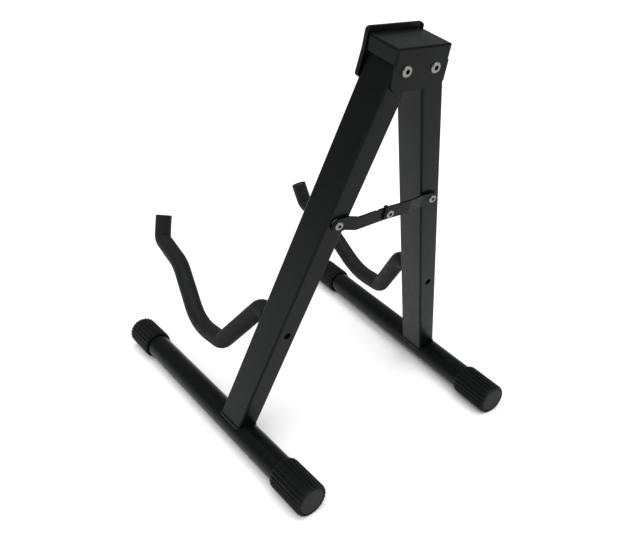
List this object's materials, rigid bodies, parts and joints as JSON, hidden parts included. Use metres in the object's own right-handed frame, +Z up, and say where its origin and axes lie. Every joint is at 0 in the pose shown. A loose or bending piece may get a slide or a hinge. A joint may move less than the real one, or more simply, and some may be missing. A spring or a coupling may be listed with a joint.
{
  "type": "folding instrument stand",
  "caption": "Folding A-frame floor stand with a padded top rest, foam-covered cradle arms, an over-centre brace and rubber-capped feet.",
  "frame": {"origin": "centre of the bounding box in X and Y, on the floor", "axes": "+Z up, +X towards the left leg seen from behind the arms, -Y the way the cradle arms reach"},
  "size_m": [0.2928, 0.3244, 0.3716],
  "materials": {
    "powder_coat": "satin black powder coat over steel",
    "nickel": "bright nickel plate on steel rivets and washers",
    "plain_steel": "bare drawn steel, hidden",
    "screw_steel": "black zinc",
    "cap_rubber": "matt moulded rubber",
    "pad_rubber": "satin moulded rubber",
    "foam": "closed-cell rubber foam with a fine skin",
    "plug_plastic": "matt black moulded plastic",
    "nylon": "natural nylon"
  },
  "bodies": {
    "bracket": {"hinge_bracket": "powder_coat", "rest_pad": "pad_rubber", "hinge_washers": "nylon", "hinge_rivet_left": "nickel", "hinge_rivet_right": "nickel"},
    "leg_left": {"leg_tube_left": "powder_coat", "foot_tube_left": "powder_coat", "foot_weld_left": "powder_coat", "foot_cap_front_left": "cap_rubber", "foot_cap_rear_left": "cap_rubber", "arm_bush_left": "plain_steel", "brace_spacer_left": "nylon", "brace_rivet_left": "nickel"},
    "arm_left": {"arm_rod_left": "plain_steel", "arm_foam_left": "foam", "arm_end_plug_left": "plug_plastic", "arm_screw_left": "screw_steel", "arm_washer_left": "nickel"},
    "leg_right": {"leg_tube_right": "powder_coat", "foot_tube_right": "powder_coat", "foot_weld_right": "powder_coat", "foot_cap_front_right": "cap_rubber", "foot_cap_rear_right": "cap_rubber", "arm_bush_right": "plain_steel", "brace_spacer_right": "nylon", "brace_anchor_right": "nickel"},
    "arm_right": {"arm_rod_right": "plain_steel", "arm_foam_right": "foam", "arm_end_plug_right": "plug_plastic", "arm_screw_right": "screw_steel", "arm_washer_right": "nickel"},
    "link_left": {"brace_link_left": "powder_coat"},
    "link_right": {"brace_link_right": "powder_coat", "brace_rivet_middle": "nickel", "brace_rivet_right": "nickel"}
  },
  "joints": [
    {"name": "fold_left", "type": "hinge", "parent": "bracket", "child": "leg_left", "pos_m": [0.0135, 0.11807, 0.34782], "axis": [0, 0.9763, -0.2164], "range_deg": [0, 16.5]},
    {"name": "fold_right", "type": "hinge", "parent": "bracket", "child": "leg_right", "pos_m": [-0.0135, 0.11807, 0.34782], "axis": [0, -0.9763, 0.2164], "range_deg": [0, 16.5]},
    {"name": "link_left_fold", "type": "hinge", "parent": "leg_left", "child": "link_left", "pos_m": [0.04946, 0.09261, 0.23299], "axis": [0, 0.9763, -0.2164], "range_deg": [0, 54.34]},
    {"name": "link_right_fold", "type": "hinge", "parent": "link_left", "child": "link_right", "pos_m": [-0.001, 0.09231, 0.23162], "axis": [0, -0.9763, 0.2164], "range_deg": [0, 149.16]},
    {"name": "swivel_left", "type": "hinge", "parent": "leg_left", "child": "arm_left", "pos_m": [0.08221, 0.06943, 0.12842], "axis": [0, -0.9763, 0.2164], "range_deg": [-5, 87]},
    {"name": "swivel_right", "type": "hinge", "parent": "leg_right", "child": "arm_right", "pos_m": [-0.08221, 0.06943, 0.12842], "axis": [0, 0.9763, -0.2164], "range_deg": [-1, 96]}
  ],
  "couplings": [
    {"joint": "fold_right", "follows": "fold_left", "ratio": 1},
    {"joint": "link_left_fold", "follows": "fold_left", "ratio": 3.2872},
    {"joint": "link_right_fold", "follows": "fold_left", "ratio": 9.0341}
  ]
}
